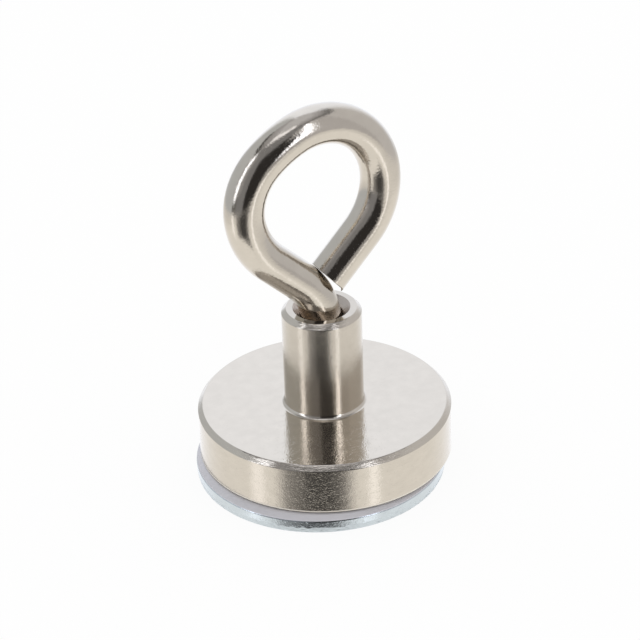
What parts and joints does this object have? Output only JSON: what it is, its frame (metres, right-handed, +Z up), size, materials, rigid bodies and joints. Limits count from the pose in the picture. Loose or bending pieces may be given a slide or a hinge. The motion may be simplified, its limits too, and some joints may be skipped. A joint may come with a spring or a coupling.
{
  "type": "pot magnet",
  "caption": "Pot magnet: flat nickel-plated steel cup with a tall threaded boss, a bent wire eye screwed into it, and a zinc-plated guard disc under its face.",
  "frame": {"origin": "on the pot's axis, at the underside of the guard disc that the part stands on", "axes": "+Z up along the axis of cup and boss; the eye lies in the XZ plane, with its neck leaning to -X and the wire's cut end on the +X side; -Y is the side the picture shows, turned by 28 degrees"},
  "size_m": [0.0494, 0.0487, 0.0742],
  "materials": {
    "zinc_plated_steel": "bright zinc plate, slightly blue",
    "nickel_plated_steel": "bright nickel plate over fine turning",
    "magnet_nickel": "satin nickel plate",
    "potting_resin": "poured resin",
    "nickel_plated_wire": "bright nickel plate on drawn wire"
  },
  "bodies": {
    "root": {"keeper_plate": "zinc_plated_steel", "pot": "nickel_plated_steel", "magnet": "magnet_nickel", "potting_ring": "potting_resin", "eye_bolt": "nickel_plated_wire"}
  },
  "joints": []
}
